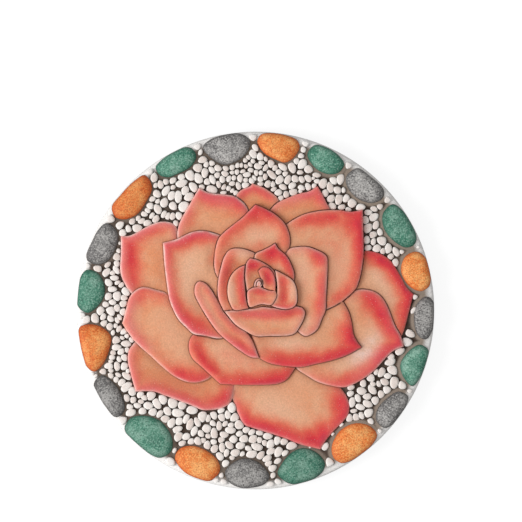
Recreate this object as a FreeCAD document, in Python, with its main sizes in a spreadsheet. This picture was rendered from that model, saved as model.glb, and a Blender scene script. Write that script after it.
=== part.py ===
"""Garden stepping stone: a round cast slab with a rose in relief, a border of pebbles and a keyhole hanger.

The slab lies flat, its plain back on z = 0 and its decorated face up. +Y is the top of the design, and the
origin is the middle of the back. All sizes are in millimetres.
"""

import FreeCAD, Part
import math
import os

import Sketcher

V = FreeCAD.Vector

# Driving dimensions: alias, value, what it is.
SIZES = [
    ("disc_diameter", "254", "overall diameter of the slab"),
    ("slab_thickness", "13", "back to the bed that carries the pebbles and the rose"),
    ("face_edge_bevel", "3", "bevel of the rim on the decorated side"),
    ("back_edge_bevel", "1.5", "bevel of the rim on the back"),
    ("border_pebble_rise", "4.5", "height of the border pebbles above the bed"),
    ("relief_sink", "4", "depth to which the border pebbles and the petals run into the bed"),
    ("border_pebble_margin", "0.6", "least distance from a border pebble to the rim"),
    ("rose_margin", "14", "rim to the outermost petal tip"),
    ("petal_tilt", "1.5", "slope of the petals' faces in degrees, up towards the lip"),
    ("guard_lift", "3.4", "lip of the outermost petals above the bed"),
    ("layer_lift", "1.1", "further lift of each layer of petals"),
    ("hanger_diameter", "20", "keyhole cup, outside"),
    ("hanger_depth", "6", "keyhole cup, front plate to floor"),
    ("hanger_sheet", "0.8", "sheet thickness of the cup"),
    ("hanger_edge_bevel", "0.5", "bevel round the front plate of the cup"),
    ("hanger_recess", "0.4", "front plate below the slab's back"),
    ("hanger_clearance", "0.15", "between the cup's side and its pocket"),
    ("hanger_rim_distance", "34", "rim of the slab to the middle of the cup"),
    ("hanger_offset", "12", "sideways from the design's upright centre line"),
    ("screw_head_hole", "9", "round end of the keyhole"),
    ("screw_shank_slot", "4.6", "narrow end of the keyhole"),
    ("keyhole_drop", "6", "centre of the round end to centre of the narrow end"),
]

# The rose is drawn at this reach, from the middle of the slab to its outermost tip, and scaled to the slab.
DRAWN_REACH = 113.0

# Petals, from the outermost layer inwards: name, layer, highest point of the lip, root and outline. The layer
# counts lifts above the guard petals, and the face slopes down from the lip towards the root. The outline is a
# list of smooth runs of arcs that meet at corners; a straight edge closes it under the next layer.
PETALS = [
    ("north_guard", 0.0, (-2, 90), (0, 58), [
        [(-16, 66), (-13.5, 80), (-2, 90)],
        [(-2, 90), (13, 82.5), (20, 66)],
    ]),
    ("east_guard", 0.0, (112.5, 11), (76, 4), [
        [(70, 30), (77, 41), (88, 41), (101, 28), (112.5, 11)],
        [(112.5, 11), (107, -7), (97, -24)],
    ]),
    ("south_guard", 0.0, (46, -98.5), (14, -46), [
        [(-10, -46), (-14.5, -64), (-6, -82), (16, -89), (46, -98.5)],
        [(46, -98.5), (56, -85), (66, -73), (63, -57), (54, -46)],
    ]),
    ("south_west_guard", 0.0, (-85, -57.5), (-40, -40), [
        [(-74, -20), (-87, -25), (-90, -38), (-85, -57.5)],
        [(-85, -57.5), (-72, -57.5), (-50, -65.5), (-28, -70.5), (-16, -61), (-13.5, -44)],
    ]),
    ("west_guard", 0.0, (-95.5, 53), (-64, 26), [
        [(-76, 6), (-90, 14), (-96, 32), (-95.5, 53)],
        [(-95.5, 53), (-82, 56.5), (-67, 63), (-56, 59), (-53, 44)],
    ]),
    ("north_east_guard", 0.8, (44, 88), (26, 58), [
        [(6, 66), (16, 77), (44, 88)],
        [(44, 88), (51, 75), (54, 60)],
    ]),
    ("north_west", 1.0, (-40, 87), (-24, 48), [
        [(-50, 44), (-51, 64), (-40, 87)],
        [(-40, 87), (-25, 82.5), (-9, 77), (-4, 60)],
    ]),
    ("west", 1.0, (-92, -14), (-43, -4), [
        [(-56, 2), (-65, 13), (-80, 16.5), (-91, 6), (-92, -14), (-80, -28), (-66, -41.5), (-50, -50.5),
         (-36, -49.5), (-25, -40)],
    ]),
    ("south_east", 1.1, (105, -25.5), (56, -16), [
        [(24, -34), (40, -49.5), (62, -54.5), (82, -44.5), (105, -25.5)],
        [(105, -25.5), (95, -2), (84, 13.5), (68, 13), (56, 2)],
    ]),
    ("south_west_inner", 1.9, (-25, -52), (-14, -22), [
        [(-32, -12), (-46, -20), (-43, -36), (-25, -52)],
        [(-25, -52), (-4, -52.5), (17, -51.5), (31, -39), (34, -26)],
    ]),
    ("west_inner", 2.2, (-65.5, 47.5), (-30, 50), [
        [(-16, 42), (-25, 53), (-42, 56.5), (-65.5, 47.5)],
        [(-65.5, 47.5), (-64, 24), (-57, -2), (-42, -17), (-18, -8)],
    ]),
    ("south_inner", 2.3, (75, -26), (61, 12), [
        [(-4, -14), (2, -31), (18, -39.5), (44, -38), (75, -26)],
        [(75, -26), (68, -10), (60, 10)],
    ]),
    ("north_east", 2.7, (76, 71.5), (27, 62), [
        [(14, 54), (29, 65), (50, 71)],
        [(50, 71), (63, 70.3), (76, 71.5)],
        [(76, 71.5), (76.5, 45), (72, 17), (56, 3), (38, 2)],
    ]),
    ("finger_fold", 3.3, (-23, -19), (-10, -6), [
        [(2.5, -33.5), (-16, -24.5), (-34, -5.5), (-43, 11), (-41.5, 19), (-36.5, 19.5), (-28, 8.5), (-18, -6),
         (-6, -17)],
    ]),
    ("north_inner", 3.6, (0, 75), (0, 30), [
        [(-18, 16), (-28.5, 28), (-28, 45), (-22, 55.5)],
        [(-22, 55.5), (-11, 64.5), (0, 75)],
        [(0, 75), (18, 65), (24, 46), (18, 30)],
    ]),
    ("east_inner", 3.6, (50, 36), (20, 30), [
        [(16, 28), (25, 44), (44, 43), (51, 30), (49, -2), (38, -17), (24, -8)],
    ]),
    ("west_wrap", 4.5, (-24, 36), (-10, 22), [
        [(-8, -3), (-21, -1), (-26.5, 12), (-24.5, 30), (-17, 43)],
        [(-17, 43), (-8, 43.7), (1, 38)],
    ]),
    ("north_point", 4.7, (14, 47.5), (14, 24), [
        [(2, 29), (1, 35), (3, 41)],
        [(3, 41), (8.5, 44), (14, 47.5)],
        [(14, 47.5), (22, 38.5), (27, 25), (26, 15)],
    ]),
    ("south_cup", 4.9, (5, 3), (8, -28), [
        [(-22, -1), (5, 2.5), (31, 3)],
        [(31, 3), (33, -8), (20, -18), (-2, -17.5), (-22, -1)],
    ]),
    ("bud_back", 5.4, (-3.5, 37), (2, 18), [
        [(-6, 10), (-7.5, 24), (-3.5, 37)],
        [(-3.5, 37), (11, 30), (12, 10)],
    ]),
    ("bud_left", 5.8, (-16, 26), (-6, 10), [
        [(-5, 1), (-7, 14), (-7.5, 32)],
        [(-7.5, 32), (-18, 22), (-17, 4), (-5, 1)],
    ]),
    ("bud_right", 5.8, (26, 22), (16, 10), [
        [(11, 3), (15.5, 14), (14, 28.5)],
        [(14, 28.5), (27, 20), (27, 4), (11, 3)],
    ]),
    ("bud_front", 5.8, (3, 17), (4, 2), [
        [(-5, 3), (-5.5, 12), (3, 17)],
        [(3, 17), (9, 14), (14.5, 12)],
        [(14.5, 12), (10, 4), (-5, 3)],
    ]),
    ("bud_fold", 6.1, (7, 30.5), (9, 14), [
        [(6, 15.5), (5, 22), (2.5, 28)],
        [(2.5, 28), (8, 30.5), (13, 24), (13, 14)],
    ]),
    ("bud_core", 6.1, (1.5, 22.7), (2, 17), [
        [(-1, 17.5), (1.5, 22.7), (4.5, 18.5)],
    ]),
]

# Border pebbles, clockwise from the top: bearing from +Y, length, width, and the turn of the long axis from
# the rim's direction, in degrees.
BORDER_PEBBLES = [
    (8, 31.5, 19.5, -5), (25, 28.5, 18, 0), (41, 31, 18.5, -2), (59.5, 34, 18.5, 4), (76.5, 28.5, 19.5, 6),
    (92.5, 32, 14.5, -2), (108.5, 29.5, 17, -8), (126, 29.5, 16, -3), (143.5, 36, 22, 0), (163.5, 35, 23, 4),
    (183, 33.5, 21, -6), (201, 34.5, 21, -5), (220, 39, 23, 2), (239.5, 33, 15, 4), (257.5, 35, 22, -2),
    (277, 32, 19, 4), (293, 31.5, 17.5, -4), (312.5, 38, 18, 5), (332, 31.5, 15.5, 1), (350, 35, 20.5, 6),
]

# Section of a border pebble, from its foot to its crown: share of its rise above the bed and inset from its
# outline as a share of its width. The foot is sunk in the bed.
PEBBLE_SECTION = [(0.58, 0.04), (1.0, 0.22)]
PEBBLE_END_SHARE = 0.36

# Expressions over the sheet that several pieces share: the scale of the rose, and the height of the hanger's
# middle above the middle of the slab.
ROSE_SCALE = f"((sizes.disc_diameter / 2 - sizes.rose_margin) / {DRAWN_REACH})"
HANGER_Y = "sqrt((sizes.disc_diameter / 2 - sizes.hanger_rim_distance) ^ 2 - sizes.hanger_offset ^ 2)"

doc = FreeCAD.newDocument("stepping_stone")


def make_sheet():
    """The spreadsheet that holds the driving dimensions."""
    sheet = doc.addObject("Spreadsheet::Sheet", "sizes")
    for row, (alias, value, note) in enumerate(SIZES, start=1):
        sheet.set(f"A{row}", alias)
        sheet.set(f"B{row}", value)
        sheet.set(f"C{row}", note)
        sheet.setAlias(f"B{row}", alias)
    doc.recompute()
    return sheet


sizes = make_sheet()


def bind(item, **expressions):
    """Binds properties of an object to expressions over the sheet."""
    for name, expression in expressions.items():
        item.setExpression(name, str(expression))


def place(item, x, y, z):
    """Binds an object's position to expressions over the sheet."""
    for axis, expression in (("x", x), ("y", y), ("z", z)):
        item.setExpression(f".Placement.Base.{axis}", str(expression))


def origin_plane(body, role):
    return next(item for item in body.Origin.OriginFeatures if item.Role == role)


def new_sketch(body, name, role):
    """A sketch on one of its body's origin planes."""
    sketch = body.newObject("Sketcher::SketchObject", name)
    sketch.AttachmentSupport = [(origin_plane(body, role), "")]
    sketch.MapMode = "FlatFace"
    return sketch


def size_constraint(sketch, expression, kind, *where):
    """Adds a constraint whose value follows an expression over the sheet."""
    index = sketch.addConstraint(Sketcher.Constraint(kind, *where, 1.0))
    sketch.setExpression(f"Constraints[{index}]", expression)


def add_polygon(sketch, corners):
    """Adds a closed polygon to a sketch, its first corner on the origin."""
    count = len(corners)
    points = [V(x, y, 0) for x, y in corners]
    for index in range(count):
        sketch.addGeometry(Part.LineSegment(points[index], points[(index + 1) % count]), False)
    for index in range(count):
        sketch.addConstraint(Sketcher.Constraint("Coincident", index, 2, (index + 1) % count, 1))
    sketch.addConstraint(Sketcher.Constraint("Coincident", 0, 1, -1, 1))


def level_lines(sketch, horizontal, vertical):
    """Keeps the given lines of a sketch level or upright."""
    for line in horizontal:
        sketch.addConstraint(Sketcher.Constraint("Horizontal", line))
    for line in vertical:
        sketch.addConstraint(Sketcher.Constraint("Vertical", line))


def turn(body, name, profile):
    """Turns a profile all the way round its body's Z axis."""
    turned = body.newObject("PartDesign::Revolution", name)
    turned.Profile = profile
    turned.ReferenceAxis = (profile, ["V_Axis"])
    turned.Angle = 360
    return turned


def make_slab():
    """The turned slab with its bevelled rim and the pocket for the hanger in its back."""
    body = doc.addObject("PartDesign::Body", "slab")
    profile = new_sketch(body, "slab_profile", "XZ_Plane")
    add_polygon(profile, [(0, 0), (98, 0), (100, 2), (100, 7), (97, 10), (0, 10)])
    level_lines(profile, (0, 4), (2, 5))
    size_constraint(profile, "sizes.disc_diameter / 2", "DistanceX", 0, 1, 1, 2)
    size_constraint(profile, "sizes.slab_thickness", "DistanceY", 5, 2, 5, 1)
    for line, size in ((1, "sizes.back_edge_bevel"), (3, "sizes.face_edge_bevel")):
        size_constraint(profile, size, "DistanceY", line, 1, line, 2)
    size_constraint(profile, "sizes.back_edge_bevel", "DistanceX", 1, 1, 1, 2)
    size_constraint(profile, "sizes.face_edge_bevel", "DistanceX", 3, 2, 3, 1)
    turn(body, "slab_turned", profile)
    seat = new_sketch(body, "hanger_seat", "XY_Plane")
    seat.addGeometry(Part.Circle(V(-10, 50, 0), V(0, 0, 1), 10), False)
    size_constraint(seat, "sizes.hanger_diameter / 2 + sizes.hanger_clearance", "Radius", 0)
    size_constraint(seat, "sizes.hanger_offset", "DistanceX", 0, 3, -1, 1)
    size_constraint(seat, HANGER_Y, "DistanceY", -1, 1, 0, 3)
    pocket = body.newObject("PartDesign::Pocket", "hanger_pocket")
    pocket.Profile = seat
    pocket.Reversed = True
    bind(pocket, Length="sizes.hanger_depth + sizes.hanger_recess")
    doc.recompute()
    return body


def tangent_arc(start, end, heading):
    """The arc that leaves start along a heading and ends at end, with its heading there."""
    chord = end - start
    bearing = math.atan2(chord.y, chord.x)
    swing = math.remainder(bearing - heading, 2 * math.pi)
    sagitta = chord.Length / 2 * math.tan(swing / 2)
    middle = start + chord / 2 + V(math.sin(bearing), -math.cos(bearing), 0) * sagitta
    return Part.Arc(start, middle, end), bearing + swing


def smooth_arcs(points):
    """Arcs through the points, each leaving the last one tangentially; the first passes through three."""
    places = [V(x, y, 0) for x, y in points]
    arcs = [Part.Arc(*places[:3])]
    leaving = arcs[0].tangent(arcs[0].LastParameter)[0]
    heading = math.atan2(leaving.y, leaving.x)
    for start, end in zip(places[2:], places[3:]):
        arc, heading = tangent_arc(start, end, heading)
        arcs.append(arc)
    return arcs


def make_outline(name, runs):
    """A petal's closed outline, scaled from the drawn rose to the slab."""
    sketch = doc.addObject("Sketcher::SketchObject", f"{name}_outline")
    for run in runs:
        for arc in smooth_arcs(run):
            sketch.addGeometry(arc, False)
    first, last = runs[0][0], runs[-1][-1]
    if first != last:
        sketch.addGeometry(Part.LineSegment(V(*last, 0), V(*first, 0)), False)
    scaled = doc.addObject("Part::Scale", f"{name}_scaled")
    scaled.Base = sketch
    scaled.Uniform = True
    bind(scaled, UniformScale=ROSE_SCALE)
    return scaled


def make_petal(name, layer, lip, root, runs):
    """One petal: its outline raised from the bed and cut off by a sloping plane through its lip."""
    level = f"sizes.slab_thickness + sizes.guard_lift + {layer} * sizes.layer_lift"
    prism = doc.addObject("Part::Extrusion", f"{name}_prism")
    prism.Base = make_outline(name, runs)
    prism.DirMode = "Custom"
    prism.Dir = V(0, 0, 1)
    prism.Solid = True
    bind(prism, LengthFwd=f"{level} + sizes.layer_lift", LengthRev="sizes.relief_sink - sizes.slab_thickness")

    above = doc.addObject("Part::Cylinder", f"{name}_above")
    bind(above, Radius="sizes.disc_diameter", Height="sizes.slab_thickness")
    outward = V(lip[0] - root[0], lip[1] - root[1], 0)
    above.Placement.Rotation = FreeCAD.Rotation(V(outward.y, -outward.x, 0), 1)
    above.setExpression(".Placement.Rotation.Angle", "sizes.petal_tilt * 1 deg")
    place(above, f"{lip[0]} * {ROSE_SCALE}", f"{lip[1]} * {ROSE_SCALE}", level)

    petal = doc.addObject("Part::Cut", f"{name}_petal")
    petal.Base = prism
    petal.Tool = above
    return petal


def make_oval(name, length, width, inset, level):
    """An oval of four arcs, drawn a given inset inside its full outline."""
    end = PEBBLE_END_SHARE * width
    reach = length / 2 - end
    spare = width / 2 - end
    drop = (reach ** 2 - spare ** 2) / (2 * spare)
    lean = math.atan2(drop, reach)
    oval = doc.addObject("Sketcher::SketchObject", name)
    for x, y, radius, start, stop in (
        (reach, 0, end, -lean, lean),
        (0, -drop, width / 2 + drop, lean, math.pi - lean),
        (-reach, 0, end, math.pi - lean, math.pi + lean),
        (0, drop, width / 2 + drop, math.pi + lean, 2 * math.pi - lean),
    ):
        circle = Part.Circle(V(x, y, 0), V(0, 0, 1), radius - inset)
        oval.addGeometry(Part.ArcOfCircle(circle, start, stop), False)
    oval.setExpression(".Placement.Base.z", level)
    return oval


def make_border_pebble(number, bearing, length, width, turn_angle):
    """One domed oval pebble of the border, sunk in the bed beside the rim."""
    name = f"border_pebble_{number}"
    sections = [make_oval(f"{name}_foot", length, width, 0, "-sizes.relief_sink")]
    for step, (rise_share, inset_share) in enumerate(PEBBLE_SECTION, start=1):
        level = f"{rise_share} * sizes.border_pebble_rise"
        sections.append(make_oval(f"{name}_ring_{step}", length, width, inset_share * width, level))
    pebble = doc.addObject("Part::Loft", name)
    pebble.Sections = sections
    pebble.Solid = True
    pebble.Ruled = True
    angle = math.radians(90 - bearing)
    reach = f"(sizes.disc_diameter / 2 - sizes.border_pebble_margin - {width / 2})"
    pebble.Placement.Rotation = FreeCAD.Rotation(V(0, 0, 1), turn_angle - bearing)
    place(pebble, f"{math.cos(angle)} * {reach}", f"{math.sin(angle)} * {reach}", "sizes.slab_thickness")
    return pebble


def fuse(name, pieces):
    """One solid of several pieces."""
    joined = doc.addObject("Part::MultiFuse", name)
    joined.Shapes = pieces
    return joined


def make_cast_stone():
    """The whole casting in one solid: slab, border pebbles and rose."""
    pebbles = [make_border_pebble(n, *pebble) for n, pebble in enumerate(BORDER_PEBBLES, start=1)]
    bordered = fuse("bordered_slab", [make_slab()] + pebbles)
    rose = fuse("rose", [make_petal(*petal) for petal in PETALS])
    return fuse("cast_stone", [bordered, rose])


def make_hanger():
    """The keyhole cup: a drawn sheet cup, its keyhole plate towards the back of the slab."""
    body = doc.addObject("PartDesign::Body", "keyhole_hanger")
    profile = new_sketch(body, "cup_profile", "XZ_Plane")
    add_polygon(profile, [(0, 0), (9.5, 0), (10, 0.5), (10, 6), (9, 6), (9, 1), (0, 1)])
    level_lines(profile, (0, 3, 5), (2, 4, 6))
    size_constraint(profile, "sizes.hanger_diameter / 2", "DistanceX", 0, 1, 1, 2)
    size_constraint(profile, "sizes.hanger_depth", "DistanceY", 0, 1, 2, 2)
    size_constraint(profile, "sizes.hanger_sheet", "DistanceX", 3, 2, 3, 1)
    size_constraint(profile, "sizes.hanger_sheet", "DistanceY", 6, 2, 6, 1)
    for direction in ("DistanceX", "DistanceY"):
        size_constraint(profile, "sizes.hanger_edge_bevel", direction, 1, 1, 1, 2)
    turn(body, "cup", profile)
    doc.recompute()

    keyhole = new_sketch(body, "keyhole_outline", "XY_Plane")
    head, slot, drop = 4.5, 2.3, 6.0
    lean = math.asin(slot / head)
    shoulder = -drop / 2 + head * math.cos(lean)
    round_end = Part.Circle(V(0, -drop / 2, 0), V(0, 0, 1), head)
    narrow_end = Part.Circle(V(0, drop / 2, 0), V(0, 0, 1), slot)
    keyhole.addGeometry(Part.ArcOfCircle(round_end, math.pi / 2 + lean, 5 * math.pi / 2 - lean), False)
    keyhole.addGeometry(Part.LineSegment(V(slot, shoulder, 0), V(slot, drop / 2, 0)), False)
    keyhole.addGeometry(Part.ArcOfCircle(narrow_end, 0, math.pi), False)
    keyhole.addGeometry(Part.LineSegment(V(-slot, drop / 2, 0), V(-slot, shoulder, 0)), False)
    keyhole.addConstraint(Sketcher.Constraint("Coincident", 0, 2, 1, 1))
    keyhole.addConstraint(Sketcher.Constraint("Tangent", 1, 2, 2, 1))
    keyhole.addConstraint(Sketcher.Constraint("Tangent", 2, 2, 3, 1))
    keyhole.addConstraint(Sketcher.Constraint("Coincident", 3, 2, 0, 1))
    keyhole.addConstraint(Sketcher.Constraint("Vertical", 1))
    keyhole.addConstraint(Sketcher.Constraint("Vertical", 3))
    keyhole.addConstraint(Sketcher.Constraint("PointOnObject", 0, 3, -2))
    keyhole.addConstraint(Sketcher.Constraint("PointOnObject", 2, 3, -2))
    size_constraint(keyhole, "sizes.screw_head_hole / 2", "Radius", 0)
    size_constraint(keyhole, "sizes.screw_shank_slot / 2", "Radius", 2)
    size_constraint(keyhole, "sizes.keyhole_drop / 2", "DistanceY", 0, 3, -1, 1)
    size_constraint(keyhole, "sizes.keyhole_drop / 2", "DistanceY", -1, 1, 2, 3)
    cut = body.newObject("PartDesign::Pocket", "keyhole")
    cut.Profile = keyhole
    cut.Reversed = True
    bind(cut, Length="sizes.hanger_sheet")
    place(body, "-sizes.hanger_offset", HANGER_Y, "sizes.hanger_recess")
    doc.recompute()
    return body


def main():
    parts = [make_cast_stone(), make_hanger()]
    doc.recompute()
    for item in doc.Objects:
        if any(word in item.State for word in ("Invalid", "Error")):
            raise RuntimeError(f"{item.Name} did not build: {item.State}")
    os.makedirs("parts", exist_ok=True)
    for part in parts:
        shape = part.Shape
        if shape.isNull() or not shape.isValid() or len(shape.Solids) != 1:
            raise RuntimeError(f"{part.Label} is not one valid solid")
        shape.exportStep(f"parts/{part.Label}.step")
        print(part.Label, "volume", round(shape.Volume), "faces", len(shape.Faces), shape.BoundBox)


main()
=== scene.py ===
"""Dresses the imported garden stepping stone: a round cast slab with a painted rose in relief on a bed of
small white pebbles, a ring of coloured border stones, and a steel keyhole cup let into its plain back."""
import math

import bpy
import numpy as np
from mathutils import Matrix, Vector
from mathutils.geometry import delaunay_2d_cdt


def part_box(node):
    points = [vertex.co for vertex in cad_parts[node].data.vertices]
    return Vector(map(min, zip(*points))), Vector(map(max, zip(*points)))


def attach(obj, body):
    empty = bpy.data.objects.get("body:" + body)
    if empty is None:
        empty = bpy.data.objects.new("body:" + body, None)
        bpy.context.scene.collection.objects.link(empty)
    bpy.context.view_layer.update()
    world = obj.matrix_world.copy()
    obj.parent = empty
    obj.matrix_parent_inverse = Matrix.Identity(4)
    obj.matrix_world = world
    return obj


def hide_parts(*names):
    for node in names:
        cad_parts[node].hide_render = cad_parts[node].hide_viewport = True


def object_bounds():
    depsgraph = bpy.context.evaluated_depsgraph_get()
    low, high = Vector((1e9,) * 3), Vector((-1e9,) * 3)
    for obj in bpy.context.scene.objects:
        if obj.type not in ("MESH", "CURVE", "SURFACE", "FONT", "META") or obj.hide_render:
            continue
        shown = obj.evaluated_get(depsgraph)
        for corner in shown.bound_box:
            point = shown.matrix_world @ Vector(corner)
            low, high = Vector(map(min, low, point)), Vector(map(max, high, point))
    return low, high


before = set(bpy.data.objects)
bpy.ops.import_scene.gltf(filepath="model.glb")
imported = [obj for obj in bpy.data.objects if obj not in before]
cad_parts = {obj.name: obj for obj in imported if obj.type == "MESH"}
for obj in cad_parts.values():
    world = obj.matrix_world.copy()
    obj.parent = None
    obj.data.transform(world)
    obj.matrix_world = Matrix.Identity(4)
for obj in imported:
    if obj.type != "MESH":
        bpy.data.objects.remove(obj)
cad_low, cad_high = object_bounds()
hanger_low, hanger_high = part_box("keyhole_hanger")

# Sizes of the casting, in millimetres unless a name says otherwise.
MM = 0.001
DISC_RADIUS = cad_high.x / MM
BED_HEIGHT = 13.0
FACE_ROUNDING = 3.0
BACK_ROUNDING = 1.5
SUNK = 1.0
GUARD_LIFT = 3.4
LAYER_LIFT = 1.1
PETAL_TILT = math.tan(math.radians(1.5))
LIP_REACH = 5.0
LIP_SHARE = 0.13
LIP_FALL = 0.36
CUP_DEPTH = 1.6
CUP_REACH = 8.0
LEAST_PETAL = 2.0
LEAST_SHARE = 0.8
PETAL_BLEND = 0.6
STONE_RISE = 4.5
STONE_RIM_GAP = 0.4
COLLAR_RISE = 1.0
COLLAR_REACH = 2.4
PEBBLE_RISE = 2.3
PEBBLE_GAP = 0.25
PEBBLE_COUNT = 385
PEBBLE_TIP_RADIUS = 0.6
PEBBLE_RIM_GAP = 1.8
LEAST_PEBBLE_AREA = 4.0
PEBBLE_STONE_GAP = 0.6
BARE_MORTAR = 1.6
HANGER_CLEARANCE = 0.15
RIM_CLEARANCE = 1.0
FAR = 100.0

# How the small pebbles differ, and how they are packed and rounded.
PEBBLE_SIZES = (0.75, 1.3)
PEBBLE_STRETCHES = (1.2, 2.6)
PEBBLE_RISES = (0.8, 1.15)
PEBBLE_TONES = (0, 0.7)
PACKING_SEED = 7
RISE_SEED = 11
PACKING_ROUNDS = 14
SHRINK_ROUNDS = 14
SHRINK = 0.97
SHARE_INSIDE = 0.76
CORNER_SHARE = 0.6
DAMPING = 0.8

# Mesh spacing, in millimetres.
OUTLINE_STEP = 0.9
GRID_STEP = 1.5
BED_STEP = 2.0
STONE_STEP = 1.6
LIP_INSETS = (0.12, 0.5, 1.2, 2.2)
CREASE_OFFSETS = (0.1, 0.7, 1.5)
PACKING_STEP = 0.6
STROKE_STEP = 1.0
STROKE_FADE = 0.5
STROKE_SOFTNESS = 1.6
ROW_KEPT = 0.9
LIP_CLEARANCE = 0.6
CREASE_CLEARANCE = 0.5
WELD = 1e-4
BACK_WELD = 1e-5

# Counts of points, and the angles in degrees past which an edge is sharp.
PEBBLE_POINTS = 20
DISC_POINTS = 192
POCKET_POINTS = 64
ROUNDING_POINTS = 6
CHUNK = 4000
SHARP_ANGLE = 50
SLAB_SHARP_ANGLE = 35

# Reach of the paint, in millimetres: red from a free lip, the pale line on the lip (a painted highlight,
# partly pale paint), and the dark line and brown wash of painted shade beside an overlapping petal.
BLUSH_REACH = 10.5
BLUSH_SHARE = 0.3
PINK_REACH = 4.5
PALE_REACH = 1.0
CREASE_REACH = 0.8
WASH_REACH = 2.6
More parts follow.
